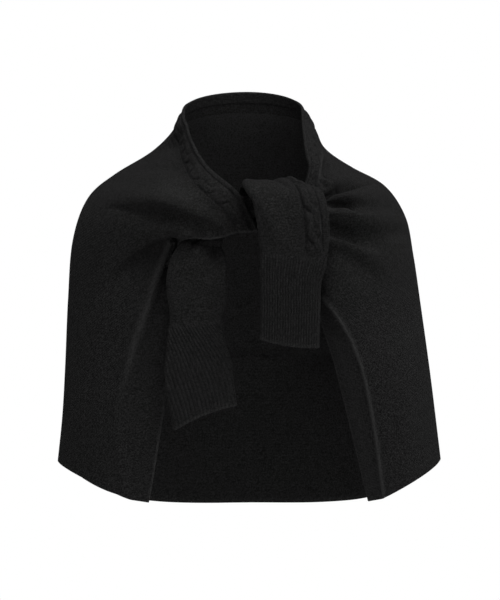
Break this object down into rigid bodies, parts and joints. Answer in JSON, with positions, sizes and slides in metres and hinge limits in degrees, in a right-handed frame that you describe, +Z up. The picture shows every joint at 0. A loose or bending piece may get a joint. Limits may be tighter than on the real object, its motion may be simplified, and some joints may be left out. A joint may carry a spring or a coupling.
{
  "type": "knit bolero, a shoulder cape with knotted sleeves",
  "caption": "Short knit shoulder cape worn open in front, with its long sleeves tied in a half-knot at the neck, a cable band along the neck edge and ribbed cuffs.",
  "frame": {"origin": "middle of the shoulder line at the base of the neck, where a wearer's shoulders carry the garment", "axes": "+Z up, -Y the way the wearer faces, +X to the wearer's left"},
  "size_m": [0.5366, 0.3078, 0.5911],
  "materials": {
    "plain_knit": "brushed fine knit, matt",
    "bunched_knit": "brushed fine knit, matt",
    "cable_knit": "cable knit, matt",
    "ribbed_knit": "ribbed knit, matt"
  },
  "bodies": {
    "root": {"back": "plain_knit", "right_front": "plain_knit", "left_front": "plain_knit", "back_neck_band": "cable_knit", "right_neck_band": "cable_knit", "left_neck_band": "cable_knit", "right_sleeve_wrap": "bunched_knit", "right_sleeve": "plain_knit", "right_cuff": "ribbed_knit", "left_sleeve_pass": "bunched_knit", "left_sleeve": "plain_knit", "left_cuff": "ribbed_knit"}
  },
  "joints": []
}
